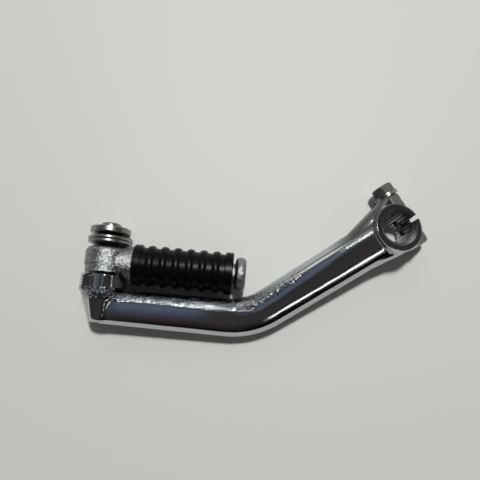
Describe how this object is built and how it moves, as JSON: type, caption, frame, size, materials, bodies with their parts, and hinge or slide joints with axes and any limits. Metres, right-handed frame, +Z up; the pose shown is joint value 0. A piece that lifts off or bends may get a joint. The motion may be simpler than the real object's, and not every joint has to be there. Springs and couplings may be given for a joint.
{
  "type": "kick start lever",
  "caption": "Cranked kick start lever: a split, serrated shaft clamp with a pinch bolt, a bent arm and a folding foot pedal with a ribbed rubber sleeve.",
  "frame": {"origin": "middle of the serrated shaft bore, on its axis", "axes": "as the lever lies at rest with its pedal folded: +X along the folded pedal towards its tip, +Y along the pivot pin towards its peened end, +Z up from the surface it lies on"},
  "size_m": [0.1964, 0.0982, 0.0281],
  "materials": {
    "polished_chrome": "polished and chrome plated",
    "cast_chrome": "chrome plated over a rough casting",
    "zinc": "zinc plated",
    "rubber": "moulded, satin"
  },
  "bodies": {
    "arm": {"kick_arm": "polished_chrome", "clamp_bolt": "zinc", "clamp_bolt_spring_washer": "zinc", "pivot_pin": "zinc", "retaining_washer": "zinc", "upper_disc_spring": "zinc", "lower_disc_spring": "zinc"},
    "pedal": {"foot_pedal": "cast_chrome", "pedal_rubber": "rubber"}
  },
  "joints": [
    {"name": "pedal_fold", "type": "hinge", "parent": "arm", "child": "pedal", "pos_m": [-0.1604, -0.03, -0.00154], "axis": [0, -1, 0], "range_deg": [0, 90]}
  ]
}
